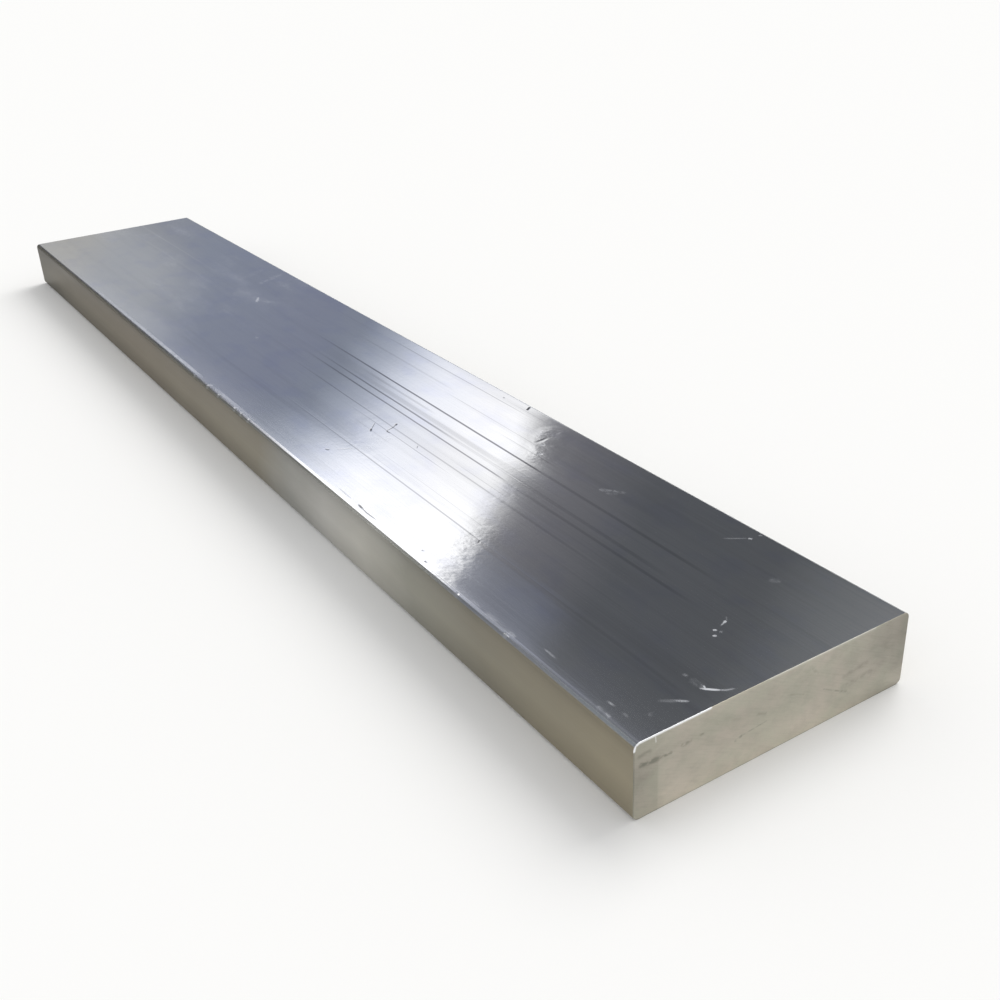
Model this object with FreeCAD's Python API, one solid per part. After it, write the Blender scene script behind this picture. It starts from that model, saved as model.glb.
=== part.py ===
"""Aluminium flat bar: one sawn length of extruded rectangular stock, lying on a wide face.

Millimetres. X runs along the bar, Y across its width and Z up through its thickness.
The origin is at the middle of the underside.
"""

import FreeCAD
import Part
import math
import os

# Driving dimensions
BAR_LENGTH = 600.0  # cut length, from saw cut to saw cut
BAR_WIDTH = 100.0  # across the wide faces
BAR_THICKNESS = 25.0  # between the wide faces
CORNER_RADIUS = 2.0  # the die's radius on the four long corners
END_BREAK = 0.4  # file break all round each sawn end

PARTS_FOLDER = "parts"


def corner_arc(centre_y, centre_z, start_degrees):
    """A quarter circle of the section, going anticlockwise as seen from the near end."""
    start, middle, end = (
        FreeCAD.Vector(
            0.0,
            centre_y + CORNER_RADIUS * math.cos(math.radians(angle)),
            centre_z + CORNER_RADIUS * math.sin(math.radians(angle)),
        )
        for angle in (start_degrees, start_degrees + 45.0, start_degrees + 90.0)
    )
    return Part.Arc(start, middle, end).toShape()


def section_face():
    """The die's opening: a rectangle with four rounded corners, drawn in the plane X = 0."""
    flat_y = BAR_WIDTH / 2.0 - CORNER_RADIUS
    low_z = CORNER_RADIUS
    high_z = BAR_THICKNESS - CORNER_RADIUS
    arcs = [
        corner_arc(flat_y, high_z, 0.0),
        corner_arc(-flat_y, high_z, 90.0),
        corner_arc(-flat_y, low_z, 180.0),
        corner_arc(flat_y, low_z, 270.0),
    ]
    edges = []
    for arc, following in zip(arcs, arcs[1:] + arcs[:1]):
        flat_start = arc.lastVertex(True).Point
        flat_end = following.firstVertex(True).Point
        edges += [arc, Part.LineSegment(flat_start, flat_end).toShape()]
    return Part.Face(Part.Wire(edges))


def extruded_length():
    """The section pushed through the die and cut square at both ends."""
    section = section_face()
    section.translate(FreeCAD.Vector(-BAR_LENGTH / 2.0, 0.0, 0.0))
    return section.extrude(FreeCAD.Vector(BAR_LENGTH, 0.0, 0.0))


def lies_on_a_cut(edge):
    """True for an edge of the outline of either sawn end."""
    box = edge.BoundBox
    flat = box.XLength < END_BREAK / 2.0
    return flat and abs(abs(box.Center.x) - BAR_LENGTH / 2.0) < END_BREAK / 2.0


def flat_bar():
    """The cut length with its saw burr filed off all round both ends."""
    bar = extruded_length()
    return bar.makeChamfer(END_BREAK, [edge for edge in bar.Edges if lies_on_a_cut(edge)])


def main():
    os.makedirs(PARTS_FOLDER, exist_ok=True)
    bar = flat_bar()
    bar.exportStep(os.path.join(PARTS_FOLDER, "flat_bar.step"))
    box = bar.BoundBox
    print(f"flat_bar {box.XLength:.2f} x {box.YLength:.2f} x {box.ZLength:.2f} mm")
    print(f"valid {bar.isValid()}, solids {len(bar.Solids)}, volume {bar.Volume / 1000.0:.2f} cm3")


main()
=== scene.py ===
# %% [markdown]
# # An aluminium flat bar, fresh from the saw
# The part is one solid length of extruded stock. Its shape is plain, so nearly all of its looks
# are in the finish: the wide faces carry the die's lengthwise lines and mirror the room, the
# narrow faces are satin, and the ends are sawn. This first cell loads the CAD bar as a fixed
# frame and reads its sizes, so that nothing below is fitted by eye.

# %% Load the frame
import bmesh
import bpy
import math
from mathutils import Matrix, Vector


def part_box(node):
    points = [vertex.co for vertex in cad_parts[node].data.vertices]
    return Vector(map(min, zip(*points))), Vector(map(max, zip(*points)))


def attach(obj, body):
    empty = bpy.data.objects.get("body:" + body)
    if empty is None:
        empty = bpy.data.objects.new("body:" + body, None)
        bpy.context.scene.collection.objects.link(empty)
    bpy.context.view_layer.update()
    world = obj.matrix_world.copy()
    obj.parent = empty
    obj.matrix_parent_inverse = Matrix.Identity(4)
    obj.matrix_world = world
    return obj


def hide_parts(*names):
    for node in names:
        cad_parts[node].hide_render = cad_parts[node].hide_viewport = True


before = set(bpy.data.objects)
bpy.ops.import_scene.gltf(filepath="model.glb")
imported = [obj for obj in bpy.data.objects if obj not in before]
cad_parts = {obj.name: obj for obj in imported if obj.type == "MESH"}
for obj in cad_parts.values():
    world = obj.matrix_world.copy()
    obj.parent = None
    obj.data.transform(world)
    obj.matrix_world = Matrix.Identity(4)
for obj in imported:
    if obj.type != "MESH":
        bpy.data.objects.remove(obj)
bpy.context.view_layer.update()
MM = 0.001
low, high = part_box("flat_bar")
size = high - low
centre = (low + high) / 2
print("bar", [round(side / MM, 2) for side in size], "mm")

# %% [markdown]
# ## The camera
# The photo was taken from close by, a little above the near end, so the far end looks much
# smaller. The viewpoint was worked out from the bar's straight edges. A camera could be turned
# with three angles, but a point to look at and a small roll are easier to read and to change.

# %% Set up the camera
CAMERA_POINT = Vector((477.4, -193.8, 213.3)) * MM
CAMERA_AIM = Vector((150.8, 6.7, 12.5)) * MM
CAMERA_ROLL = math.radians(-2.87)
CAMERA_LENS = 42.26
CAMERA_SENSOR = 36.0
NEAR_CLIP = 0.01
FAR_CLIP = 60.0


def link(name, data):
    thing = bpy.data.objects.new(name, data)
    bpy.context.scene.collection.objects.link(thing)
    return thing


def aimed(point, aim):
    """The place of a camera or lamp at one point that looks at another."""
    turn = (Vector(aim) - Vector(point)).to_track_quat("-Z", "Y")
    return Matrix.Translation(point) @ turn.to_matrix().to_4x4()


def make_camera():
    data = bpy.data.cameras.new("camera")
    data.lens = CAMERA_LENS
    data.sensor_width = CAMERA_SENSOR
    data.clip_start = NEAR_CLIP
    data.clip_end = FAR_CLIP
    camera = link("camera", data)
    camera.matrix_world = aimed(CAMERA_POINT, CAMERA_AIM) @ Matrix.Rotation(CAMERA_ROLL, 4, "Z")
    bpy.context.scene.camera = camera


make_camera()
print("camera", round((CAMERA_POINT - centre).length, 3), "m from the middle of the bar")

# %% [markdown]
# ## Shader sums written as sums
# A procedural finish is mostly arithmetic. Wired by hand that is a page of Math nodes, so this
# small class wraps one socket and lets Python's own signs add the nodes. Everything that isn't
# plain arithmetic goes through `add`, which sets a node's settings first and its sockets next.

# %% Make a wire that can be summed


class Wire:
    """One output of a node; sums with it add Math nodes to the same tree."""

    def __init__(self, tree, socket):
        self.tree = tree
        self.socket = socket

    def math(self, operation, first, second=0.0, third=0.0):
        return add(self.tree, "ShaderNodeMath", {"operation": operation}, {0: first, 1: second, 2: third})

    def __add__(self, other):
        return self.math("ADD", self, other)

    def __radd__(self, other):
        return self.math("ADD", other, self)

    def __sub__(self, other):
        return self.math("SUBTRACT", self, other)

    def __rsub__(self, other):
        return self.math("SUBTRACT", other, self)

    def __mul__(self, other):
        return self.math("MULTIPLY", self, other)

    def __rmul__(self, other):
        return self.math("MULTIPLY", other, self)

    def __truediv__(self, other):
        return self.math("DIVIDE", self, other)

    def size(self):
        return self.math("ABSOLUTE", self)

    def at_least(self, other):
        return self.math("MAXIMUM", self, other)

    def at_most(self, other):
        return self.math("MINIMUM", self, other)


def add(tree, kind, settings, sockets, output=0):
    """Adds a node: its settings, then the values or wires of its sockets. Gives one output."""
    node = tree.nodes.new(kind)
    for name, value in settings.items():
        if name == "stops":
            set_stops(node.color_ramp, value)
        else:
            setattr(node, name, value)
    for name, value in sockets.items():
        if isinstance(value, Wire):
            tree.links.new(value.socket, node.inputs[name])
        else:
            node.inputs[name].default_value = value
    return Wire(tree, node.outputs[output]) if node.outputs else None


def set_stops(ramp, stops):
    """Gives a ramp its stops: pairs of a place from 0 to 1 and a colour."""
    while len(ramp.elements) < len(stops):
        ramp.elements.new(1.0)
    for element, (place, colour) in zip(ramp.elements, stops):
        element.position = place
        element.color = (*colour, 1.0)


def new_finish(name):
    """An empty material and its tree."""
    material = bpy.data.materials.new(name)
    material.use_nodes = True
    material.node_tree.nodes.clear()
    return material, material.node_tree


# %% [markdown]
# ## Words for the finishes
# A few helpers turn the sums into words that describe metal: where a point is in millimetres,
# how a value eases from 0 to 1 between two limits, how a number or a colour follows a drawn
# curve, a cloudy noise that can be drawn out along the bar, and how near a point is to a scratch.

# %% Name the building blocks of a finish
COLOUR_INPUTS = {"A": 6, "B": 7}
COLOUR_OUTPUT = 2


def scaled(vector, share):
    """A point, or a colour, with all of its parts times one number."""
    sockets = {0: vector, "Scale": share}
    return add(vector.tree, "ShaderNodeVectorMath", {"operation": "SCALE"}, sockets)


def stretched(point, factors):
    """A point with each of its coordinates times a factor of its own; 0 flattens it."""
    sockets = {0: point, 1: factors}
    return add(point.tree, "ShaderNodeVectorMath", {"operation": "MULTIPLY"}, sockets)


def millimetres(tree):
    """The point being shaded, in millimetres in its own frame, whole and as X, Y, Z."""
    point = scaled(add(tree, "ShaderNodeTexCoord", {}, {}, "Object"), 1 / MM)
    return point, [add(tree, "ShaderNodeSeparateXYZ", {}, {0: point}, axis) for axis in "XYZ"]


def eased(value, start, end):
    """0 up to start, 1 from end on, and smooth in between; start may be the larger one."""
    sockets = {"Value": value, "From Min": start, "From Max": end}
    return add(value.tree, "ShaderNodeMapRange", {"interpolation_type": "SMOOTHSTEP"}, sockets)


def curve(value, stops):
    """A number that follows stops, pairs of a place and a number, and runs straight between."""
    places, numbers = zip(*stops)
    first, last, least, most = places[0], places[-1], min(numbers), max(numbers)
    greys = [(number - least) / (most - least) for number in numbers]
    ramp = [((place - first) / (last - first), (grey, grey, grey)) for place, grey in zip(places, greys)]
    share = (value - first) / (last - first)
    grey = add(value.tree, "ShaderNodeValToRGB", {"stops": ramp}, {0: share})
    return grey * (most - least) + least


def toned(value, stops):
    """A colour that follows stops, pairs of a place and a colour."""
    first, last = stops[0][0], stops[-1][0]
    ramp = [((place - first) / (last - first), colour) for place, colour in stops]
    return add(value.tree, "ShaderNodeValToRGB", {"stops": ramp}, {0: (value - first) / (last - first)})


def clouds(point, stretch, detail=2.0, roughness=0.5):
    """Noise from 0 to 1 whose lumps measure about 1 / stretch millimetres along each axis."""
    sockets = {"Vector": stretched(point, stretch), "Scale": 1.0}
    sockets.update({"Detail": detail, "Roughness": roughness})
    return add(point.tree, "ShaderNodeTexNoise", {"noise_dimensions": "3D"}, sockets)


def beside(point, start, end):
    """The distance in millimetres from a point to the straight line between two others."""
    tree = point.tree
    run = Vector(end) - Vector(start)
    length = run.length
    away = add(tree, "ShaderNodeVectorMath", {"operation": "SUBTRACT"}, {0: point, 1: start})
    sockets = {0: away, 1: run / length}
    along = add(tree, "ShaderNodeVectorMath", {"operation": "DOT_PRODUCT"}, sockets, "Value")
    along = along.at_least(0.0).at_most(length)
    foot = add(tree, "ShaderNodeVectorMath", {"operation": "SCALE"}, {0: run / length, "Scale": along})
    return add(tree, "ShaderNodeVectorMath", {"operation": "DISTANCE"}, {0: away, 1: foot}, "Value")


def blend(share, first, second):
    """One colour passing into another as share goes from 0 to 1."""
    sockets = {"Factor": share}
    for name, colour in (("A", first), ("B", second)):
        sockets[COLOUR_INPUTS[name]] = colour if isinstance(colour, Wire) else (*colour, 1.0)
    return add(share.tree, "ShaderNodeMix", {"data_type": "RGBA"}, sockets, COLOUR_OUTPUT)


print("finish words", [word.__name__ for word in (millimetres, eased, curve, toned, clouds, beside, blend)])

# %% [markdown]
# ## The window that the top mirrors
# Metal shows what it reflects, so the room matters as much as the finish. In the photo the top
# mirrors a bright window between a pale wall and a dark hall. A real room could be built, but a
# painted panel that only reflections see gives the same picture in the metal. Its colours run
# across the panel, and two drawn curves bend the sides of the window as the metal's own waves
# bend them.

# %% Paint the window
WINDOW_STOPS = (
    # place across the panel, colour
    (-1200, (0.32, 0.325, 0.33)),
    (-700, (0.305, 0.31, 0.325)),
    (-500, (0.24, 0.265, 0.33)),
    (-300, (0.21, 0.23, 0.30)),
    (-230, (0.22, 0.245, 0.305)),
    (-169, (0.40, 0.435, 0.52)),
    (-124, (0.67, 0.705, 0.80)),
    (-77, (0.86, 0.88, 0.95)),
    (-20, (0.97, 0.97, 1.0)),
    (56, (1.04, 1.04, 1.05)),
    (84, (0.80, 0.80, 0.81)),
    (100, (0.48, 0.48, 0.49)),
    (113, (0.27, 0.27, 0.285)),
    (140, (0.195, 0.195, 0.21)),
    (180, (0.155, 0.155, 0.17)),
    (320, (0.095, 0.10, 0.11)),
    (560, (0.085, 0.09, 0.098)),
    (700, (0.135, 0.142, 0.15)),
    (1200, (0.30, 0.30, 0.31)),
)
WALL_COLOUR = (0.42, 0.415, 0.40)
WALL_EDGE_COLOUR = (0.375, 0.39, 0.42)
DARK_COLOUR = (0.12, 0.125, 0.14)
COOL_COLOUR = (0.21, 0.24, 0.32)
NEAR_FRAME = (
    # place along the panel, how far the side of the window is moved there
    (-160, 8),
    (-147, 19),
    (-111, 13),
    (-57, 6),
    (-43, 12),
    (-22, 8),
    (-8, 14),
    (0, 13),
    (18, 0),
    (37, -9),
    (50, 7),
    (72, 13),
    (92, -5),
    (109, -15),
    (125, -18),
)
FAR_FRAME = (
    (-149, -75),
    (-101, -56),
    (-82, -27),
    (-63, -21),
    (-45, -30),
    (-10, -19),
    (7, -12),
    (23, -17),
    (48, -36),
    (67, -20),
    (110, -22),
)
WINDOW_LIGHT = (
    (-200, 1.35),
    (-60, 1.12),
    (-10, 1.02),
    (28, 1.04),
    (45, 1.14),
    (110, 1.08),
    (140, 1.0),
)
# Each of these is a pair of places in millimetres, and something eases from the one to the other
NEAR_SIDE = (20, 70)
FAR_SIDE = (-40, -100)
WALL_START = (-460, -610)
WALL_END = (-640, -730)
WALL_FOOT = (40, -46)
COOL_START = (90, 140)
COOL_END = (340, 240)
COOL_TOP = (-75, -130)
GLASS_START = (-170, -40)
GLASS_END = (140, 100)
GLASS_TOP = (370, 430)
COOL_SHARE = 0.35


def wall_window_and_hall(across, along):
    """What the flat top mirrors: pale wall, window, dark hall."""
    placed = across - curve(along, NEAR_FRAME) * eased(across, *NEAR_SIDE)
    placed = placed - curve(along, FAR_FRAME) * eased(across, *FAR_SIDE)
    colour = toned(placed, WINDOW_STOPS)
    wall = eased(across, *WALL_START) * eased(along, *WALL_FOOT)
    wall_colour = blend(eased(across, *WALL_END), WALL_EDGE_COLOUR, WALL_COLOUR)
    colour = blend(wall, colour, wall_colour)
    cool = eased(along, *COOL_TOP) * eased(across, *COOL_START) * eased(across, *COOL_END)
    colour = blend(cool * COOL_SHARE, colour, COOL_COLOUR)
    glass = eased(placed, *GLASS_START) * eased(placed, *GLASS_END)
    colour = blend(glass * eased(along, *GLASS_TOP), colour, DARK_COLOUR)
    return scaled(colour, curve(along, WINDOW_LIGHT) * glass + (1.0 - glass))


print("window", len(WINDOW_STOPS), "tones")

# %% [markdown]
# ## The low part of the window
# The front corner is rounded, and a rounding mirrors the low part of the panel, squeezed into a
# few hundredths of the bar's width. Each place along the bar mirrors a slanting line of it, so
# the window's sill and the dark in front of it are painted across that slant, and dimmer where
# the rounding is steep. Towards the near end the window stops at a drawn curve, and what lies
# past it has colours of its own.

# %% Paint the sill
SILL_STOPS = (
    # place across the slant of the sill, colour
    (-480, (0.30, 0.30, 0.30)),
    (-420, (0.17, 0.17, 0.17)),
    (-360, (0.18, 0.18, 0.19)),
    (-300, (0.11, 0.11, 0.12)),
    (-85, (0.09, 0.09, 0.10)),
    (-20, (0.14, 0.15, 0.18)),
    (35, (0.25, 0.26, 0.31)),
    (95, (0.39, 0.40, 0.46)),
    (155, (0.51, 0.52, 0.59)),
    (225, (1.10, 1.11, 1.18)),
    (300, (2.0, 2.0, 2.0)),
    (565, (2.1, 2.1, 2.1)),
)
SILL_FRAME = (
    # place along the panel, where the window's side is there
    (-1700, -1000),
    (-1290, -575),
    (-1127, -352),
    (-950, -172),
    (-750, -56),
    (-400, 67),
    (-195, 100),
)
PAST_STOPS = (
    # place past the window's side, colour
    (-40, (1.9, 1.9, 1.9)),
    (0, (1.0, 1.0, 1.0)),
    (25, (0.67, 0.68, 0.74)),
    (75, (0.46, 0.48, 0.57)),
    (130, (0.29, 0.30, 0.34)),
    (175, (0.34, 0.36, 0.44)),
    (240, (0.24, 0.25, 0.29)),
    (330, (0.20, 0.21, 0.24)),
    (420, (0.155, 0.16, 0.185)),
    (560, (0.16, 0.17, 0.19)),
)
SILL_TURN = 650
SILL_BEND = 0.62
SILL_DIM = 0.55
DIM_PLACES = (-900, -1400)
PAST_START = (-60, -10)
LOW_START = (-165, -330)


def sill_and_past(across, along):
    """What the front rounding mirrors: the window's sill, and what lies past its near side."""
    sill = across - along + (along + SILL_TURN).at_least(0.0) * SILL_BEND
    dim = 1.0 - eased(across + along, *DIM_PLACES) * SILL_DIM
    past = across - curve(along, SILL_FRAME)
    return blend(eased(past, *PAST_START), scaled(toned(sill, SILL_STOPS), dim), toned(past, PAST_STOPS))


print("sill", len(SILL_STOPS), "tones, past it", len(PAST_STOPS))

# %% [markdown]
# ## The floor and the panels
# The bar lies on a plain pale floor. The window's panel stands behind it, and a second one, a
# dim hall on the near side, is what the steep part of the front corner mirrors. Both are hidden
# from the camera and change no light on the floor: they are seen in the metal only.

# %% Build the stage
FLOOR_COLOUR = (0.93, 0.93, 0.925)
FLOOR_SIDE = 40.0
PANEL_TARGET = Vector((100, 0, 25)) * MM
WINDOW_DISTANCE = 1.5
WINDOW_HEADING = math.radians(30)
WINDOW_RISE = math.radians(26)
WINDOW_LEAN = math.radians(39.3)
WINDOW_ACROSS = 2.4
WINDOW_ALONG = 3.6
HALL_DISTANCE = 1.5
HALL_HEADING = math.radians(-45)
HALL_SIDE = 6.0
HALL_STOPS = (
    # place across the panel, colour
    (0, (0.23, 0.24, 0.26)),
    (180, (0.22, 0.225, 0.225)),
    (300, (0.27, 0.275, 0.26)),
    (430, (0.30, 0.30, 0.28)),
    (560, (0.20, 0.20, 0.195)),
    (730, (0.15, 0.15, 0.15)),
    (1000, (0.15, 0.14, 0.13)),
)


def stage_plane(name, across, along):
    """A flat panel of the stage, in the plane of its own X and Y."""
    mesh = bmesh.new()
    bmesh.ops.create_grid(mesh, x_segments=1, y_segments=1, size=0.5)
    bmesh.ops.scale(mesh, vec=(across, along, 1), verts=mesh.verts)
    data = bpy.data.meshes.new(name)
    mesh.to_mesh(data)
    mesh.free()
    panel = link(name, data)
    return panel


def glowing(tree, colour):
    glow = add(tree, "ShaderNodeEmission", {}, {"Color": colour, "Strength": 1.0})
    add(tree, "ShaderNodeOutputMaterial", {}, {"Surface": glow})


def floor_finish():
    material, tree = new_finish("floor_paper")
    paper = add(tree, "ShaderNodeBsdfDiffuse", {}, {"Color": (*FLOOR_COLOUR, 1)})
    add(tree, "ShaderNodeOutputMaterial", {}, {"Surface": paper})
    return material


def window_finish():
    """The wall, the window and the hall, and below them the sill."""
    material, tree = new_finish("window_light")
    _, (across, along, _) = millimetres(tree)
    upper, lower = wall_window_and_hall(across, along), sill_and_past(across, along)
    glowing(tree, blend(eased(along, *LOW_START), upper, lower))
    return material


def hall_finish():
    """A dim hall whose grey changes a little from side to side."""
    material, tree = new_finish("hall_light")
    _, (across, _, _) = millimetres(tree)
    glowing(tree, toned(across, HALL_STOPS))
    return material


def face_bar(panel, heading, rise, lean, distance):
    """Stands a panel at a heading from straight down the bar, facing the bar."""
    level = math.cos(rise)
    towards = Vector((-math.cos(heading) * level, math.sin(heading) * level, math.sin(rise)))
    rightwards = towards.cross(Vector((0, 0, 1))).normalized()
    upwards = rightwards.cross(towards)
    across = rightwards * math.cos(lean) + upwards * math.sin(lean)
    along = towards.cross(across)
    turn = Matrix((across, along, across.cross(along))).transposed().to_4x4()
    panel.matrix_world = Matrix.Translation(PANEL_TARGET + towards * distance) @ turn
    panel.visible_camera = False
    panel.visible_diffuse = False
    panel.visible_shadow = False


def make_stage():
    floor = stage_plane("floor", FLOOR_SIDE, FLOOR_SIDE)
    floor.data.materials.append(floor_finish())
    window = stage_plane("window_panel", WINDOW_ACROSS, WINDOW_ALONG)
    window.data.materials.append(window_finish())
    face_bar(window, WINDOW_HEADING, WINDOW_RISE, WINDOW_LEAN, WINDOW_DISTANCE)
    hall = stage_plane("hall_panel", HALL_SIDE, HALL_SIDE)
    hall.data.materials.append(hall_finish())
    face_bar(hall, HALL_HEADING, 0.0, 0.0, HALL_DISTANCE)


make_stage()

# %% [markdown]
# ## The light
# The light is plain and soft: an even glow from all round, and a wide sun from behind that lays
# a shadow in front of the bar. Area lamps would do as well, but they would show as shapes in
# the bright top.

# %% Light the stage
ROOM_LIGHT = 0.75
SUN_POINT = (-0.5, 1.4, 1.5)
SUN_STRENGTH = 1.35
SUN_SPREAD = math.radians(40)
SUN_COLOUR = (1.0, 0.99, 0.97)


def make_world():
    """Even light from all round."""
    world = bpy.data.worlds.new("room")
    bpy.context.scene.world = world
    world.use_nodes = True
    tree = world.node_tree
    tree.nodes.clear()
    glow = add(tree, "ShaderNodeBackground", {}, {"Color": (1, 1, 1, 1), "Strength": ROOM_LIGHT})
    add(tree, "ShaderNodeOutputWorld", {}, {"Surface": glow})


def make_sun():
    """A wide soft key from behind the bar, even over the whole floor."""
    data = bpy.data.lights.new("key", "SUN")
    data.energy = SUN_STRENGTH
    data.angle = SUN_SPREAD
    data.color = SUN_COLOUR
    link("key", data).matrix_world = aimed(SUN_POINT, centre)


make_world()
make_sun()
print("room light", ROOM_LIGHT, "sun", SUN_STRENGTH)

# %% [markdown]
# ## The bar's own shape
# The blank starts as a box of the CAD bar's size. Rolling its four long edges over with a round
# bevel gives the die's corners, and a second, smaller bevel round both ends is the file's
# break of the sawn edge. The wide faces are then cut into long strips, because the die's lines
# and the nicks that come next move points of the mesh. A cut close beside each rounding keeps
# the flat faces truly flat under smooth shading.

# %% Model the blank
CORNER_RADIUS = 2.0 * MM
CORNER_STEPS = 12
END_BREAK = 0.4 * MM
END_STEPS = 3
STRIP = 5.0 * MM
BORDER = 0.12 * MM
HAIR = 0.01 * MM
GROOVE_CUTS = (-1.3, -1, 0, 1, 1.3)
DIE_LINES = (
    # place across the bar, half width, depth
    (41.9, 0.22, 0.006),
    (17.6, 0.36, 0.012),
    (7.5, 0.30, 0.010),
    (3.7, 0.28, 0.010),
    (-5.8, 0.22, 0.007),
    (-9.2, 0.20, 0.006),
    (-26.3, 0.28, 0.010),
)
AXES = {"x": Vector((1, 0, 0)), "y": Vector((0, 1, 0)), "z": Vector((0, 0, 1))}


def lies_along_x(edge):
    return abs(edge.verts[0].co.x - edge.verts[1].co.x) > size.x / 2


def on_an_end(edge):
    return all(abs(abs(vert.co.x - centre.x) - size.x / 2) < HAIR for vert in edge.verts)


def round_over(mesh, edges, offset, segments):
    shape = {"offset_type": "OFFSET", "profile": 0.5, "affect": "EDGES", "material": -1}
    bmesh.ops.bevel(mesh, geom=edges, offset=offset, segments=segments, clamp_overlap=True, **shape)


def cut(mesh, faces, normal, places):
    """Cuts some faces at several places along a direction, and gives what they have become."""
    for place in places:
        geometry = set(faces)
        for face in faces:
            geometry.update(face.verts)
            geometry.update(face.edges)
        sides = {"plane_co": normal * place, "plane_no": normal}
        done = bmesh.ops.bisect_plane(mesh, geom=list(geometry), dist=HAIR / 10, **sides)
        faces = [item for item in done["geom"] if isinstance(item, bmesh.types.BMFace)]
    return faces


def spaced(first, last, step):
    count = max(1, round((last - first) / step))
    return [first + (last - first) * index / count for index in range(count + 1)]


def lines_across():
    """Where the faces are cut across the width: even strips, and both banks of each die line."""
    flat = size.y / 2 - CORNER_RADIUS
    places = spaced(centre.y - flat, centre.y + flat, STRIP)[1:-1]
    places += [centre.y - flat + BORDER, centre.y + flat - BORDER]
    for place, half_width, _ in DIE_LINES:
        places += [(place + side * half_width) * MM for side in GROOVE_CUTS]
    return places


def model_blank():
    mesh = bmesh.new()
    bmesh.ops.create_cube(mesh, size=1.0)
    bmesh.ops.scale(mesh, vec=size, verts=mesh.verts)
    bmesh.ops.translate(mesh, vec=centre, verts=mesh.verts)
    round_over(mesh, [edge for edge in mesh.edges if lies_along_x(edge)], CORNER_RADIUS, CORNER_STEPS)
    round_over(mesh, [edge for edge in mesh.edges if on_an_end(edge)], END_BREAK, END_STEPS)
    cut(mesh, mesh.faces[:], AXES["y"], lines_across())
    levels = (low.z + CORNER_RADIUS + BORDER, high.z - CORNER_RADIUS - BORDER)
    cut(mesh, mesh.faces[:], AXES["z"], levels)
    ends = (low.x + END_BREAK + BORDER, high.x - END_BREAK - BORDER)
    cut(mesh, mesh.faces[:], AXES["x"], ends)
    return mesh


blank = model_blank()
print("blank", len(blank.faces), "faces")

# %% [markdown]
# ## The die's lines
# A worn spot on the die scores the same fine groove along the whole bar, on both wide faces.
# These could be painted into the finish, but a real groove mirrors the room at its own slant. The dark
# hairlines in the bright part of the top are painted shade as well, in the mill finish.

# %% Score the die's lines


def score(mesh):
    for place, _, depth in DIE_LINES:
        for vert in mesh.verts:
            on_face = min(high.z - vert.co.z, vert.co.z - low.z) < HAIR
            if on_face and abs(vert.co.y - place * MM) < HAIR:
                vert.co.z += depth * MM * (1 if vert.co.z < centre.z else -1)


score(blank)
print("die lines", len(DIE_LINES))
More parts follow.
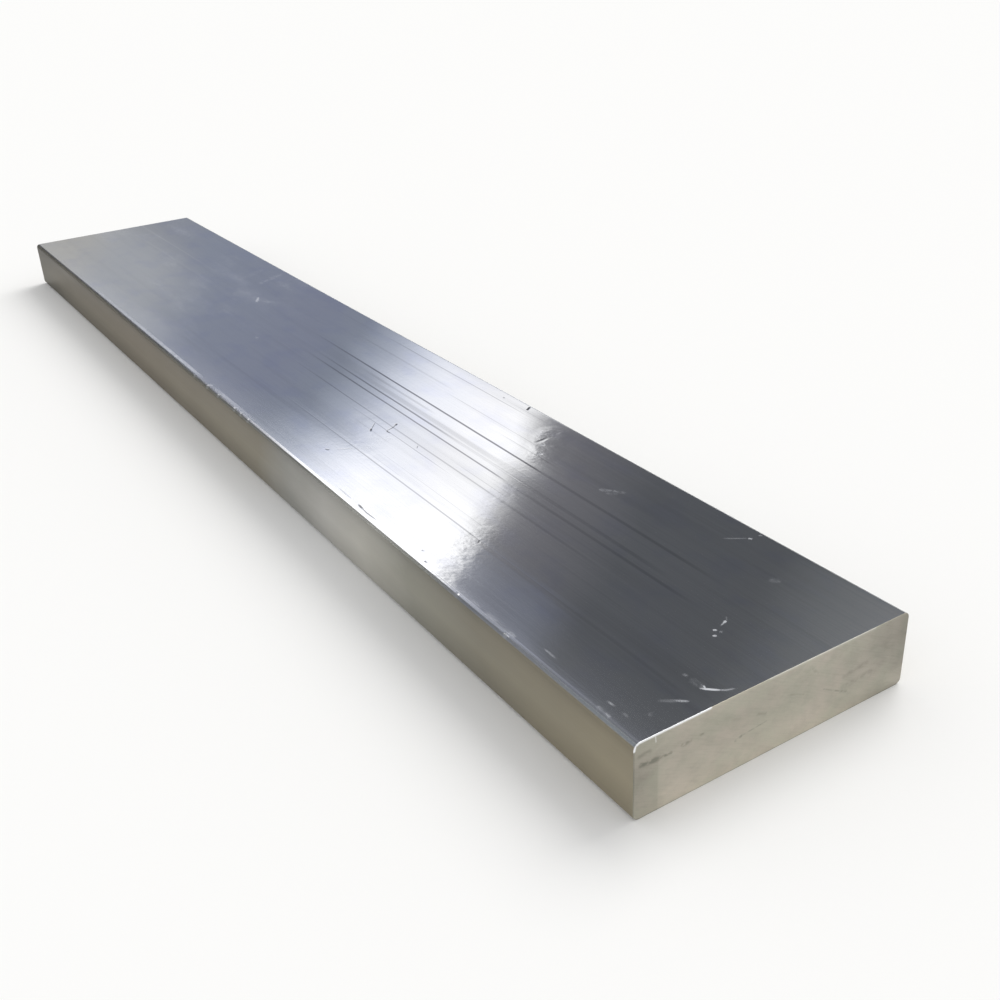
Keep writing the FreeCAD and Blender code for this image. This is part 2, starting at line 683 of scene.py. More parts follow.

# %% [markdown]
# ## Nicks and scratches
# Handling has left small marks on the top: scratches, dots and smears. Each is a path of points with a half
# width, a depth, how much it is scuffed pale, and how much painted shade darkens it where it crosses the
# bright window that the top mirrors.

# %% List the marks
MARKS = (
    # path, half width, depth, scuffed, painted shade
    (((110.8, 47.6), (112.2, 45.6)), 0.55, 0.08, 0.2, 0.95),
    (((91.0, -3.1), (91.8, -3.9)), 0.50, 0.05, 0.2, 0.85),
    (((91.5, -3.6), (93.4, -6.4), (94.3, -9.2)), 0.32, 0.03, 0.2, 0.60),
    (((93.9, -9.1), (95.2, -9.5), (97.5, -9.3)), 0.40, 0.04, 0.2, 0.85),
    (((84.5, -9.4), (89.2, -13.5)), 0.26, 0.02, 0.2, 0.45),
    (((88.6, -13.2), (91.0, -14.8)), 0.50, 0.05, 0.2, 0.95),
    (((114.0, -6.3), (116.3, -8.0)), 0.26, 0.02, 0.2, 0.50),
    (((101.5, -26.8), (97.6, -32.5)), 0.35, 0.01, 0.3, 0.20),
    (((94.8, -35.8), (96.0, -35.4)), 0.60, 0.02, 0.3, 0.50),
    (((127.7, -46.4), (138.0, -46.7)), 0.40, 0.01, 0.2, 0.25),
    (((143.2, -46.3), (144.6, -46.6), (148.2, -46.9)), 0.62, 0.06, 0.2, 0.85),
    (((146.5, -46.8), (151.0, -47.1), (157.4, -46.8)), 0.36, 0.03, 0.2, 0.75),
    (((237.2, 36.5), (241.8, 42.6)), 0.45, 0.0, 0.11, 0.0),
    (((242.3, 43.1), (242.7, 43.4)), 0.60, 0.01, 0.35, 0.0),
    (((242.9, 47.1), (243.1, 47.4)), 0.55, 0.0, 0.15, 0.0),
    (((272.9, 4.8), (273.1, 4.3)), 0.55, 0.02, 0.50, 0.0),
    (((273.1, 4.3), (273.7, 2.4)), 0.30, 0.01, 0.30, 0.0),
    (((271.0, 7.0), (272.7, 5.4)), 0.24, 0.0, 0.10, 0.0),
    (((274.3, -0.6), (274.5, -0.4)), 0.58, 0.02, 0.42, 0.0),
    (((276.0, 0.2), (276.2, 0.4)), 0.50, 0.0, 0.12, 0.0),
    (((276.4, -2.6), (276.6, -2.3)), 0.58, 0.02, 0.42, 0.0),
    (((292.2, -21.9), (293.3, -20.8), (294.7, -19.4), (296.0, -17.9)), 0.55, 0.02, 0.65, 0.0),
    (((295.4, -18.6), (296.8, -16.9), (297.7, -14.4)), 0.45, 0.0, 0.22, 0.0),
    (((292.2, -20.3), (293.5, -20.9)), 0.36, 0.0, 0.45, 0.0),
    (((289.8, -34.0), (291.6, -31.7), (293.8, -28.4)), 0.80, 0.0, 0.08, 0.0),
    (((292.4, -30.4), (294.8, -27.6)), 0.62, 0.01, 0.26, 0.0),
    (((282.2, -44.4), (285.2, -44.4)), 0.50, 0.0, 0.26, 0.0),
    (((253.0, -44.2), (259.0, -44.4)), 0.45, 0.0, 0.18, 0.0),
    (((-102.5, 18.2), (-98.6, 16.0), (-94.6, 13.8)), 1.00, 0.0, 0.40, 0.0),
    (((191.8, -47.2), (192.4, -47.2)), 0.45, 0.03, 0.2, 0.6),
    (((185.1, -44.5), (185.6, -44.3)), 0.40, 0.02, 0.2, 0.4),
    (((95.2, 45.2), (95.8, 45.0)), 0.50, 0.03, 0.2, 0.5),
    (((140.2, 30.3), (140.0, 33.0), (139.5, 36.4)), 1.20, 0.03, 0.0, 0.35),
    (((143.2, 31.0), (143.8, 31.6)), 0.80, 0.01, 0.35, 0.0),
    (((149.0, 25.8), (149.6, 26.4)), 0.80, 0.01, 0.30, 0.0),
    (((191.0, -26.4), (191.8, -27.3)), 0.50, 0.01, 0.1, 0.5),
)
print("marks", len(MARKS))

# %% [markdown]
# ## Pressing the marks in
# The faces under a mark are cut along its own direction, so a few cuts are enough, and the points near its
# middle line are pressed in. The same pass writes down on each point how much it is scuffed and how much
# painted shade darkens it, and the finish reads that later.

# %% Press in the marks
CAPS = (-1.3, -1.0, -0.6, -0.25)
BANKS = (-1.3, -1.0, -0.6, -0.25, 0.25, 0.6, 1.0, 1.3)
REACH = 1.6
SHORTEST_TAPER = 5.0
THINNEST = 0.3
SHORTEST_SLICE = 2.5
MOST_SLICES = 8


def hollow(share):
    """The depth of a mark from its middle line, 0, to its rim, 1."""
    return (1 - min(1.0, share) ** 2) ** 2


def cover(share):
    """How fully a mark covers the metal from its middle line, 0, to its rim, 1."""
    return 1 - min(1.0, share) ** 2.5


def tapered(place, total, half_width):
    """A long mark thins out and fades towards both of its ends."""
    if total < SHORTEST_TAPER * half_width:
        return 1.0
    return THINNEST + (1 - THINNEST) * (1 - abs(2 * place / total - 1) ** 3)


def overlaps(face, box):
    left, right, front, back = box
    xs = [vert.co.x for vert in face.verts]
    ys = [vert.co.y for vert in face.verts]
    return min(xs) < right and max(xs) > left and min(ys) < back and max(ys) > front


def inside(face, box):
    middle = face.calc_center_median()
    return box[0] < middle.x < box[1] and box[2] < middle.y < box[3]


def cut_out(mesh, box):
    """The faces of the top inside a box, after cutting them along its sides."""
    faces = [face for face in mesh.faces if face.normal.z > 0.5 and overlaps(face, box)]
    faces = cut(mesh, faces, AXES["x"], box[:2])
    faces = [face for face in faces if inside(face, (*box[:2], low.y, high.y))]
    faces = cut(mesh, faces, AXES["y"], box[2:])
    return [face for face in faces if inside(face, box)]


def press_stretch(mesh, start, end, mark, before, total):
    """Presses one straight stretch of a mark into the top."""
    _, half_width, depth, scuffed, grimed = mark
    width = half_width * MM
    reach = width * REACH
    box = (min(start.x, end.x) - reach, max(start.x, end.x) + reach)
    box += (min(start.y, end.y) - reach, max(start.y, end.y) + reach)
    faces = cut_out(mesh, box)
    run = (end - start).normalized()
    across = run.cross(AXES["z"])
    faces = cut(mesh, faces, across, [start.dot(across) + bank * width for bank in BANKS])
    first, last = start.dot(run), end.dot(run)
    places = [first + cap * width for cap in CAPS] + [last - cap * width for cap in CAPS]
    places += spaced(first, last, max(SHORTEST_SLICE * width, (last - first) / MOST_SLICES))
    faces = cut(mesh, faces, run, places)
    layers = mesh.verts.layers.float
    for vert in {vert for face in faces for vert in face.verts}:
        along = min(last, max(first, vert.co.dot(run))) - first
        away = (vert.co - start - run * along).xy.length
        left = tapered(before + along, total, width)
        share = away / (width * left)
        vert.co.z = min(vert.co.z, high.z - depth * MM * hollow(share))
        # How much each point is scuffed, and how much painted shade darkens it
        for name, strength in (("scuffed", scuffed), ("grimed", grimed)):
            vert[layers[name]] = max(vert[layers[name]], strength * cover(share) * left ** 0.5)


def press_marks(mesh):
    for name in ("scuffed", "grimed"):
        mesh.verts.layers.float.new(name)
    mesh.normal_update()
    for mark in MARKS:
        path = [Vector((*point, 0)) * MM for point in mark[0]]
        lengths = [(end - start).length for start, end in zip(path, path[1:])]
        for index, (start, end) in enumerate(zip(path, path[1:])):
            press_stretch(mesh, start, end, mark, sum(lengths[:index]), sum(lengths))


press_marks(blank)
print("with marks", len(blank.faces), "faces")

# %% [markdown]
# ## Knocks on the front corner
# The long corner at the front has a few knocks where the bar met something hard. A knock is
# pressed straight into the rounding, so its faces are sliced finely first. One slice more on
# each side stays unpressed, and keeps the smooth shading of the long faces straight.

# %% Knock the front corner
KNOCKS = (
    # place along the bar, radius, depth
    (-14.0, 1.1, 0.05),
    (2.4, 1.4, 0.07),
    (15.5, 1.3, 0.06),
    (34.0, 1.4, 0.06),
    (41.0, 1.2, 0.05),
    (49.0, 1.3, 0.05),
    (214.0, 1.1, 0.04),
    (241.0, 1.2, 0.04),
)
KNOCK_STEP = 0.3
KNOCK_SCUFF = 0.35
KNOCK_INSET = 0.9
KNOCK_DROP = 0.3


def knock(mesh, place, radius, depth):
    corner = Vector((place, low.y / MM + KNOCK_INSET, high.z / MM - KNOCK_DROP))
    first, last = place - radius - KNOCK_STEP, place + radius + KNOCK_STEP
    box = (first * MM, last * MM, low.y - HAIR, low.y + 2 * CORNER_RADIUS)
    rounding = high.z - CORNER_RADIUS
    faces = [face for face in mesh.faces if face.calc_center_median().z > rounding and overlaps(face, box)]
    faces = cut(mesh, faces, AXES["x"], [x * MM for x in spaced(first, last, KNOCK_STEP)])
    scuffed = mesh.verts.layers.float["scuffed"]
    inward = Vector((0, 1, -1)).normalized()
    for vert in {vert for face in faces for vert in face.verts if vert.co.z > rounding + BORDER}:
        share = (vert.co / MM - corner).length / radius
        vert.co += inward * depth * hollow(share) * MM
        vert[scuffed] = max(vert[scuffed], KNOCK_SCUFF * cover(share))


for hit in KNOCKS:
    knock(blank, *hit)
print("with knocks", len(blank.faces), "faces")

# %% [markdown]
# ## Two metals in one finish
# Every finish here is bare metal in two states: clean, and scuffed so that it scatters light.
# One rough shader with a changing roughness could hold both, but a faint scuff would then only
# blur the mirror image. Mixing two shaders by a mask lets a faint scuff stay faint and pale.

# %% Mix the two metals
SCUFF_ROUGHNESS = 0.5
SCUFF_COLOUR = (0.84, 0.86, 0.90)
# Painted shade: how dark a mark is painted where it crosses the bright window
MARK_SHADE_COLOUR = (0.06, 0.06, 0.065)


def written(tree, name):
    """What was written down on the points of the mesh under a name."""
    return add(tree, "ShaderNodeAttribute", {"attribute_name": name}, {}, "Fac")


def bare(tree, colour, roughness, bump):
    sockets = {"Base Color": colour, "Metallic": 1.0, "Roughness": roughness, "Normal": bump}
    return add(tree, "ShaderNodeBsdfPrincipled", {}, sockets)


def metal(tree, colour, roughness, height, scuffed):
    """Clean metal with scuffs, and with the painted shade of the marks written down on the mesh."""
    grimed = written(tree, "grimed")
    bump = add(tree, "ShaderNodeBump", {}, {"Height": height, "Distance": MM, "Strength": 1.0})
    # The painted shade of the marks darkens both metals
    clean = bare(tree, blend(grimed, colour, MARK_SHADE_COLOUR), roughness, bump)
    rough = bare(tree, blend(grimed, SCUFF_COLOUR, MARK_SHADE_COLOUR), SCUFF_ROUGHNESS, bump)
    shaders = {1: clean, 2: rough}
    mixed = add(tree, "ShaderNodeMixShader", {}, {"Fac": scuffed, **shaders})
    add(tree, "ShaderNodeOutputMaterial", {}, {"Surface": mixed})


def together(masks):
    """The strongest of several masks."""
    total = masks[0]
    for mask in masks[1:]:
        total = total.at_least(mask)
    return total


print("scuffed metal", SCUFF_COLOUR)

# %% [markdown]
# ## Where the top is worn, and its painted shade
# The die's lines and the dull strips beside them are painted darker as shade. They come and go along the
# bar and are strongest where they cross the bright window that the top mirrors. The strips are a little
# rougher too. Hands and cloths leave smears. They have no depth to model, so they are written down as
# strokes, with the places where each starts, is full, fades and ends.

# %% List the worn places
# Painted shade: dark lines along the die's grooves and beside them
SHADED_LINES = (
    # place, half width, starts, full, fades, ends, strength
    (42.2, 0.45, -10, 30, 95, 130, 0.42),
    (44.3, 0.40, 95, 115, 122, 130, 0.20),
    (32.9, 0.80, -20, 10, 60, 80, 0.18),
    (29.2, 0.40, 70, 90, 140, 150, 0.25),
    (24.3, 0.40, 120, 135, 155, 165, 0.28),
    (17.6, 0.64, -40, 50, 154, 168, 0.95),
    (17.7, 1.00, 145, 172, 235, 262, 0.28),
    (14.0, 0.90, 20, 50, 80, 95, 0.28),
    (7.5, 0.60, -20, 60, 92, 140, 0.85),
    (7.6, 1.10, 60, 110, 225, 250, 0.22),
    (3.7, 0.54, -20, 45, 150, 170, 0.80),
    (3.5, 0.90, 145, 170, 245, 265, 0.28),
    (-2.9, 0.30, 130, 150, 165, 175, 0.26),
    (-5.8, 0.48, -10, 50, 160, 175, 0.42),
    (-5.7, 0.80, 160, 180, 210, 235, 0.16),
    (-9.2, 0.40, 60, 95, 120, 150, 0.40),
    (-14.0, 0.32, 70, 85, 100, 110, 0.20),
    (-20.6, 0.36, 80, 150, 180, 192, 0.16),
    (-24.4, 0.30, 105, 115, 130, 140, 0.16),
    (-26.4, 0.50, 20, 115, 185, 194, 0.46),
    (-26.6, 0.90, 215, 245, 285, 296, 0.12),
)
# Strips a little rougher, and painted darker as shade beside the die lines
DULL_SHADED_STRIPS = (
    # as above
    (10.2, 1.9, -10, 50, 130, 165, 0.75),
    (12.5, 4.6, -30, 20, 42, 62, 0.45),
    (44.5, 2.6, 60, 112, 124, 132, 0.42),
    (-3.0, 2.6, 30, 60, 110, 160, 0.25),
    (2.2, 1.2, 60, 90, 120, 160, 0.25),
)
SMEARS = (
    # start, end, half width, strength
    ((-15.0, -47.6), (-12.0, -48.0), 1.1, 0.30),
    ((1.0, -47.4), (4.0, -48.0), 1.2, 0.35),
    ((14.0, -47.6), (19.0, -48.0), 1.1, 0.30),
    ((31.0, -47.3), (36.0, -47.8), 1.2, 0.30),
    ((42.0, -47.6), (52.0, -48.0), 1.1, 0.30),
    ((101.0, -12.0), (104.0, -24.0), 3.0, 0.14),
    ((95.0, -15.5), (99.0, -18.0), 1.8, 0.16),
    ((90.0, -33.8), (91.5, -34.2), 1.4, 0.14),
    ((186.4, 26.4), (188.6, 28.2), 1.5, 0.16),
    ((190.2, 26.8), (191.8, 28.4), 1.3, 0.12),
    ((190.0, 29.6), (192.8, 31.0), 1.3, 0.13),
    ((208.0, -47.3), (224.0, -47.5), 1.2, 0.16),
    ((229.0, -47.5), (243.0, -47.7), 1.3, 0.20),
    ((265.0, 31.2), (265.8, 31.8), 1.8, 0.09),
    ((283.0, -47.9), (287.5, -48.1), 0.9, 0.22),
    ((289.0, -21.0), (291.6, -20.8), 1.6, 0.10),
    ((285.4, -21.1), (285.8, -20.9), 0.9, 0.10),
    ((292.9, -39.0), (293.3, -39.2), 0.9, 0.08),
    ((289.0, -44.2), (290.2, -44.4), 0.8, 0.07),
    ((-133.0, 44.0), (-125.0, 29.0), 2.2, 0.12),
    ((-150.0, 40.0), (-141.0, 26.0), 2.0, 0.08),
    ((-93.0, 18.5), (-90.8, 18.9), 2.0, 0.16),
    ((-43.8, -6.8), (-42.2, -7.6), 1.2, 0.18),
)
HANDLED = (
    # place along the bar, haze on its front edge
    (-300, 0.08),
    (-180, 0.10),
    (-60, 0.14),
    (60, 0.12),
    (190, 0.12),
    (220, 0.06),
    (300, 0.03),
)
RIM_PLACE = -47.4
RIM = (
    # place along the bar, haze on the rim of the rounding
    (-230, 0.0),
    (-180, 0.12),
    (-100, 0.28),
    (-60, 0.42),
    (-25, 0.48),
    (-10, 0.15),
    (0, 0.0),
    (8, 0.15),
    (20, 0.34),
    (40, 0.24),
    (60, 0.10),
    (100, 0.0),
)
PUCKERS = (
    # start, end, reach, strength
    ((188, -28), (204, -50), 13, 0.65),
    ((138, 40), (150, 27), 9, 1.0),
    ((86, -12), (104, -22), 11, 0.45),
    ((160, 0), (184, -25), 7, 0.25),
)
print("painted lines", len(SHADED_LINES), "dull strips", len(DULL_SHADED_STRIPS), "smears", len(SMEARS))

# %% [markdown]
# ## The mill finish of the wide faces
# Straight from the die, the metal is bright and nearly a mirror. Three things keep it from being a perfect
# one: hairlines along the bar, a faint wrinkle like orange peel, and dull streaks where oxide has settled.
# The wrinkle and the hairlines go into the bump, the streaks into colour, and a haze along the handled
# front edge is a light scuff. The die's lines and the strips beside them are darkened in colour as painted
# shade.

# %% Make the mill finish
FACE_COLOUR = (0.90, 0.905, 0.915)
# Oxide streaks, and the painted shade of the dull strips
STREAK_AND_SHADE_COLOUR = (0.64, 0.645, 0.66)
OILY_COLOUR = (0.74, 0.76, 0.90)
# Painted shade of the die's lines
LINE_SHADE_COLOUR = (0.20, 0.20, 0.22)
FACE_ROUGHNESS = 0.045
HAIRLINE_DEPTH = 0.0014
RIPPLE_DEPTH = 0.02
WRINKLE_DEPTH = 0.009
PUCKER_DEPTH = 0.05
PUCKER_CORE = 0.25
# Each of these is a pair of places in millimetres, and something eases from the one to the other
TOP_FACE = (20, 24)
HANDLED_ACROSS = (-30, -50)
HANDLED_UP = (10, 20)
RIM_WIDTHS = (1.3, 0.4)


def strip(x, y, place, half_width, start, full, fading, end, strength):
    """A mark along the bar: how strong it is at a point, soft at its sides and at both ends."""
    across = eased((y - place).size(), half_width, half_width * 0.35)
    return across * eased(x, start, full) * eased(x, end, fading) * strength


def smudges(place, marks, axes, core=0.1):
    """Soft strokes, full out to a core share of their width; axes makes a point of a pair."""
    strokes = []
    for start, end, half_width, strength in marks:
        away = beside(place, axes(*start), axes(*end))
        strokes.append(eased(away, half_width, half_width * core) * strength)
    return together(strokes)


def on_face(x, y):
    return (x, y, 0)


def face_finish():
    material, tree = new_finish("mill_face")
    point, (x, y, z) = millimetres(tree)
    flat = stretched(point, (1, 1, 0))
    top = eased(z, *TOP_FACE)
    hairlines = clouds(point, (0.02, 1.8, 1.8), 3.0, 0.6)
    ripples = clouds(point, (0.006, 0.22, 0.22), 2.0)
    wrinkle = clouds(point, (0.4, 0.5, 0.5), 4.0, 0.6)
    pucker = clouds(point, (0.15, 0.24, 0.24), 2.0)
    lumps = clouds(point, (0.05, 0.05, 0.05), 2.0)
    puckered = smudges(flat, PUCKERS, on_face, PUCKER_CORE) * top
    wrinkled = eased(lumps, 0.35, 0.75) * 0.6 + 0.6 + puckered * 0.8
    wandering = y + (clouds(point, (0.03, 0.0, 0.0), 3.0) - 0.5) * 0.35
    # Painted shade along the die's lines, and below it the strips' painted shade
    lines = together([strip(x, wandering, *line) for line in SHADED_LINES]) * top
    dull = together([strip(x, y, *line) for line in DULL_SHADED_STRIPS]) * top
    streaks = eased(hairlines, 0.4, 0.7) * 0.18 + eased(ripples, 0.45, 0.75) * 0.26
    # The strips' painted shade joins the oxide streaks
    streaks = (streaks * (eased(x, -120, 60) * 0.5 + 0.5)).at_least(dull)
    oily = eased(clouds(point, (0.05, 0.08, 0.08), 3.0), 0.45, 0.72)
    colour = blend(oily * 0.4, FACE_COLOUR, OILY_COLOUR)
    colour = blend(streaks, colour, STREAK_AND_SHADE_COLOUR)
    # Painted shade of the lines
    colour = blend(lines, colour, LINE_SHADE_COLOUR)
    patches = eased(clouds(point, (0.018, 0.05, 0.05), 4.0, 0.6), 0.48, 0.75) * eased(x, -40, -120)
    broken = eased(clouds(point, (0.3, 0.6, 0.6), 3.0), 0.3, 0.65)
    handled = eased(y, *HANDLED_ACROSS) * eased(z, *HANDLED_UP) * curve(x, HANDLED)
    rim = eased((y - RIM_PLACE).size(), *RIM_WIDTHS) * curve(x, RIM) * (broken * 0.3 + 0.7) * top
    smeared = smudges(flat, SMEARS, on_face) * broken * top
    haze = patches * 0.12 + handled + rim.at_least(smeared)
    scuffed = (written(tree, "scuffed") + haze).at_most(1.0)
    roughness = FACE_ROUGHNESS + hairlines * 0.03 + dull * 0.04
    height = hairlines * HAIRLINE_DEPTH + ripples * RIPPLE_DEPTH
    height = height + wrinkle * wrinkled * WRINKLE_DEPTH + pucker * puckered * PUCKER_DEPTH
    metal(tree, colour, roughness, height, scuffed)
    return material


print("mill finish", FACE_COLOUR)

# %% [markdown]
# ## The satin narrow faces
# The narrow faces come off flatter parts of the die and have been handled more: they are satin and warmer.
# Their colour also holds painted shade, darker towards the far end and towards the top and foot of each
# face. A paler stretch past the middle is a painted reflection. The steep part of each rounding is satin
# too. Its colour along the bar is a painted reflection, and painted shade darkens its upper edge.

# %% Make the satin finish
# Colour along the bar: warm, with painted shade darkening it towards the far end and a painted reflection
# paling it from 90 to 182
SIDE_TONES_SHADE_AND_SHEEN = (
    (-300, (0.07, 0.06, 0.035)),
    (-220, (0.19, 0.165, 0.12)),
    (-100, (0.24, 0.205, 0.15)),
    (60, (0.33, 0.30, 0.235)),
    (90, (0.41, 0.405, 0.375)),
    (120, (0.59, 0.58, 0.545)),
    (152, (0.62, 0.605, 0.55)),
    (182, (0.41, 0.40, 0.345)),
    (230, (0.35, 0.325, 0.26)),
    (285, (0.43, 0.385, 0.285)),
)
# Painted shade by height on the face: darker towards its top and its foot
SIDE_SHADE_BY_HEIGHT = ((0, 0.85), (4, 0.95), (12, 1.0), (16, 0.88), (20, 0.78), (22, 0.68), (23, 0.61))
# Painted reflection on the steep part of each rounding, along the bar
ROUNDING_REFLECTION_TONES = (
    (-280, (0.34, 0.33, 0.28)),
    (-180, (0.46, 0.45, 0.38)),
    (-100, (0.43, 0.42, 0.37)),
    (-50, (0.46, 0.46, 0.42)),
    (0, (0.45, 0.45, 0.41)),
    (60, (0.52, 0.53, 0.52)),
    (100, (0.53, 0.53, 0.49)),
    (130, (0.76, 0.76, 0.70)),
    (160, (0.95, 0.94, 0.88)),
    (190, (0.70, 0.70, 0.64)),
    (220, (0.48, 0.50, 0.56)),
    (250, (0.55, 0.57, 0.62)),
    (290, (0.60, 0.64, 0.68)),
)
CORNER_SHADE = 0.15
SIDE_ROUGHNESS = 0.36
SIDE_HAIRLINE_DEPTH = 0.004
# Each of these is a pair of heights, and something eases from the one to the other
SATIN_ROUNDING = (23.8, 24.4)
SHADED_ROUNDING = (24.4, 24.7)


def side_finish():
    material, tree = new_finish("mill_side")
    point, (x, _, z) = millimetres(tree)
    hairlines = clouds(point, (0.015, 1.4, 1.4), 3.0, 0.6)
    cloud = clouds(point, (0.02, 0.02, 0.06), 3.0)
    colour = toned(x + (cloud - 0.5) * 40, SIDE_TONES_SHADE_AND_SHEEN)
    # Painted shade, darker towards the top and foot of the face
    colour = blend(curve(z, SIDE_SHADE_BY_HEIGHT) + (cloud - 0.5) * 0.12, (0, 0, 0), colour)
    # Painted reflection on the steep part of the rounding
    colour = blend(eased(z, *SATIN_ROUNDING), colour, toned(x, ROUNDING_REFLECTION_TONES))
    # Painted shade on the rounding's upper edge
    colour = blend(eased(z, *SHADED_ROUNDING) * CORNER_SHADE, colour, (0, 0, 0))
    roughness = SIDE_ROUGHNESS + hairlines * 0.12
    metal(tree, colour, roughness, hairlines * SIDE_HAIRLINE_DEPTH, written(tree, "scuffed"))
    return material


print("side tones", len(SIDE_TONES_SHADE_AND_SHEEN))

# %% [markdown]
# ## The sawn ends
# The saw leaves fine slanting scores, and the cut face dulls within days. A band of smudges near the front
# corner and a few short dark scores are what the photo shows. Two drawn curves make the cut face paler
# towards the floor, which is painted light that lifts the shade there, and darker towards its back and
# front edges. Along the file's break of the top edge and round the front corner, a bright line is painted
# as a highlight, with one short bright tick down from it.

# %% Make the sawn finish
SAWN_COLOUR = (0.525, 0.505, 0.425)
SAWN_PALE = (0.56, 0.515, 0.445)
SMUDGE_COLOUR = (0.30, 0.295, 0.245)
SCORE_SLANT = math.radians(-27)
SMUDGES = (
    # start, end, half width, strength; all as Y and Z
    ((-47.5, 17.4), (-42.0, 16.8), 1.3, 0.8),
    ((-48.0, 20.4), (-45.0, 20.6), 1.2, 0.5),
    ((-42.0, 16.8), (-37.8, 16.7), 0.7, 0.9),
    ((-34.0, 17.2), (-31.5, 17.4), 1.0, 0.6),
    ((-28.4, 17.7), (-27.3, 17.8), 0.8, 0.6),
    ((-15.5, 9.8), (-13.5, 10.4), 0.7, 0.7),
    ((-13.0, 10.5), (-4.5, 11.2), 0.35, 0.5),
    ((17.0, 12.2), (25.0, 7.8), 0.40, 0.6),
    ((24.0, 8.4), (26.5, 7.4), 0.8, 0.5),
    ((-8.0, 15.0), (-5.0, 14.0), 0.8, 0.3),
    ((3.0, 16.5), (9.0, 14.0), 0.5, 0.3),
    ((25.0, 13.0), (34.0, 14.0), 1.4, 0.25),
    ((25.0, 9.5), (36.0, 10.0), 1.6, 0.3),
    ((12.0, 21.0), (14.0, 19.0), 0.8, 0.3),
)
# Painted highlight along the filed top edge and round the front corner, and one short bright tick
HIGHLIGHT_AND_TICK_COLOUR = (0.93, 0.94, 0.96)
EDGE_HIGHLIGHTS_AND_TICK = (
    # as above
    ((-25.0, 24.95), (-48.2, 24.9), 0.75, 1.0),
    ((-48.2, 24.9), (-49.4, 24.4), 0.75, 1.0),
    ((-49.4, 24.4), (-49.8, 22.8), 0.60, 1.0),
    ((-43.1, 24.6), (-42.9, 22.6), 0.35, 0.4),
    ((-4.0, 24.95), (36.0, 24.95), 0.60, 0.2),
)
RIM_TONE = 0.45
SAWN_ROUGHNESS = 0.42
SCORE_DEPTH = 0.008
GRAIN_DEPTH = 0.003
# Each of these is a pair of places in millimetres, and something eases from the one to the other
NEAR_END = (290, 299)
CORNER_SIDE = (-41.6, -42.4)
CORNER_TOP = (18.5, 16.5)
PALE_START = (-42.4, -41.6)
PALE_END = (-25, -27)
PALE_TOP = (17.5, 16.5)
BACK_PART = (28, 48)
FRONT_RIM = (-49.5, -49.8)
LOW_RIM = (0.5, 0.2)
END_LIGHT_BY_HEIGHT = (
    # height on the end, how pale it is there: painted light, paler towards the floor to lift its shade
    (0, 1.38),
    (3, 1.26),
    (5, 1.19),
    (8, 1.07),
    (11, 1.0),
    (14, 0.93),
    (18, 0.88),
    (24, 0.92),
    (24.6, 1.0),
)
END_WIDTHS = (
    # place across the end, how pale it is there
    (-49, 0.83),
    (-43, 0.94),
    (-40, 1.0),
    (14, 1.0),
    (24, 0.93),
    (30, 0.89),
    (36, 0.81),
    (44, 0.78),
    (48, 0.72),
)


def on_end(y, z):
    return (0, y, z)


def sawn_finish():
    material, tree = new_finish("sawn_end")
    point, (x, y, z) = millimetres(tree)
    flat = stretched(point, (0, 1, 1))
    turn = {"Vector": flat, "Angle": -SCORE_SLANT}
    turned = add(tree, "ShaderNodeVectorRotate", {"rotation_type": "X_AXIS"}, turn)
    scores = clouds(turned, (0, 0.12, 1.9), 3.0, 0.6)
    patches = clouds(turned, (0, 0.08, 0.2), 3.0)
    mottled = clouds(flat, (0, 0.16, 0.25), 4.0, 0.65)
    hues = clouds(flat, (0, 0.10, 0.12), 3.0)
    grain = clouds(point, (2.5, 2.5, 2.5), 2.0)
    near_end = eased(x, *NEAR_END)
    smudged = smudges(flat, SMUDGES, on_end) * eased(clouds(flat, (0.5, 0.5, 0.8), 3.0), 0.3, 0.6)
    corner = eased(y, *CORNER_SIDE) * eased(z, *CORNER_TOP)
    pale = eased(y, *PALE_START) * eased(y, *PALE_END) * eased(z, *PALE_TOP)
    colour = blend(eased(hues, 0.35, 0.65), SAWN_COLOUR, SAWN_PALE)
    colour = blend(pale * near_end * 0.35, colour, SAWN_PALE)
    tone = eased(patches, 0.3, 0.7) * 0.12 + eased(scores, 0.4, 0.75) * 0.10
    tone = tone + eased(mottled, 0.4, 0.7) * 0.18 + eased(grain, 0.45, 0.7) * 0.06
    tone = tone + (corner * 0.22 + smudged) * near_end + eased(y, *BACK_PART) * 0.25
    tone = tone + eased(y, *FRONT_RIM).at_least(eased(z, *LOW_RIM)) * RIM_TONE
    colour = blend(tone.at_most(1.0), colour, SMUDGE_COLOUR)
    # Paler towards the floor, painted light over the shade there, and darker towards the back and front
    # edges
    paled_and_darkened = curve(z, END_LIGHT_BY_HEIGHT) * curve(y, END_WIDTHS)
    colour = scaled(colour, paled_and_darkened)
    # Painted highlight along the top edge and round the front corner, with one bright tick
    highlight_and_tick = smudges(flat, EDGE_HIGHLIGHTS_AND_TICK, on_end) * near_end
    colour = blend(highlight_and_tick, colour, HIGHLIGHT_AND_TICK_COLOUR)
    height = scores * SCORE_DEPTH + grain * GRAIN_DEPTH
    metal(tree, colour, SAWN_ROUGHNESS + scores * 0.12, height, written(tree, "scuffed"))
    return material


print("smudges", len(SMUDGES))

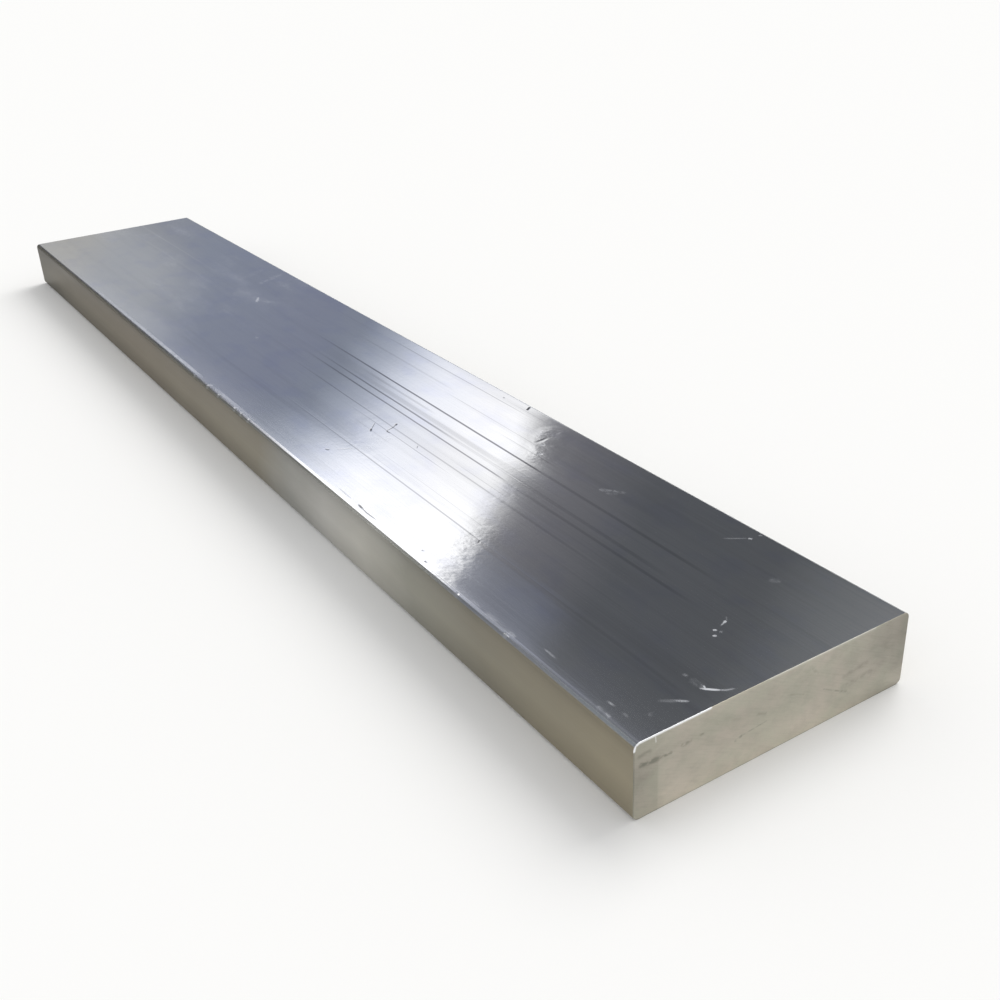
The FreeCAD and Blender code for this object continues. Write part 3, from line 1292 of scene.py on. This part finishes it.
# %% [markdown]
# ## Dress the bar
# Each face of the mesh takes one of three finishes by the way it points. Edges where the sawn
# end meets the rest stay crisp, and the roundings are smooth. The map for baking unrolls the
# outline of the section, and stretches the width more than the length, because the die's lines
# are fine across the bar and long along it. The piece then rides on the CAD body and stands
# for the CAD node, in exactly its place.

# %% Dress the bar
FINISHES = (face_finish, side_finish, sawn_finish)
END_SLANT = 0.2
FACE_SLANT = 0.85
CRISP = math.radians(10)
MAP_NAME = "OFBake"
AROUND_SHARE = 0.9
END_WIDE = 0.46
END_HIGH = 0.07
MAP_GAP = 0.02


def finish_number(normal):
    if abs(normal.x) > END_SLANT:
        return FINISHES.index(sawn_finish)
    if abs(normal.z) > FACE_SLANT:
        return FINISHES.index(face_finish)
    return FINISHES.index(side_finish)


def map_place(point, normal):
    """Where a point goes on the map: unrolled sides below, the two ends in a row above."""
    from_low = point - low
    if abs(normal.x) > END_SLANT:
        column = MAP_GAP if normal.x > 0 else 0.5 + MAP_GAP
        across, up = from_low.y / size.y, from_low.z / size.z
        return column + across * END_WIDE, AROUND_SHARE + MAP_GAP + up * END_HIGH
    outline = 2 * (size.y + size.z)
    around = from_low.y + from_low.z
    if normal.z < normal.y:
        around = outline - around
    return from_low.x / size.x, around / outline * AROUND_SHARE


def make_bar(mesh):
    mesh.normal_update()
    sawn = FINISHES.index(sawn_finish)
    places = mesh.loops.layers.uv.new(MAP_NAME)
    for face in mesh.faces:
        face.smooth = True
        face.material_index = finish_number(face.normal)
        for loop in face.loops:
            loop[places].uv = map_place(loop.vert.co, face.normal)
    for edge in mesh.edges:
        kinds = {face.material_index for face in edge.link_faces}
        edge.smooth = not (sawn in kinds and edge.calc_face_angle(0) > CRISP)
    data = bpy.data.meshes.new("bar")
    mesh.to_mesh(data)
    mesh.free()
    for finish in FINISHES:
        data.materials.append(finish())
    bar = link("bar", data)
    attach(bar, "root")
    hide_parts("flat_bar")
    return bar


bar = make_bar(blank)
bar.data.calc_loop_triangles()
print("bar", len(bar.data.loop_triangles), "triangles")

# %% [markdown]
# ## Hand over
# The last cell sets the Standard view transform and hands the scene over.

# %% Finish
bpy.context.scene.view_settings.view_transform = "Standard"
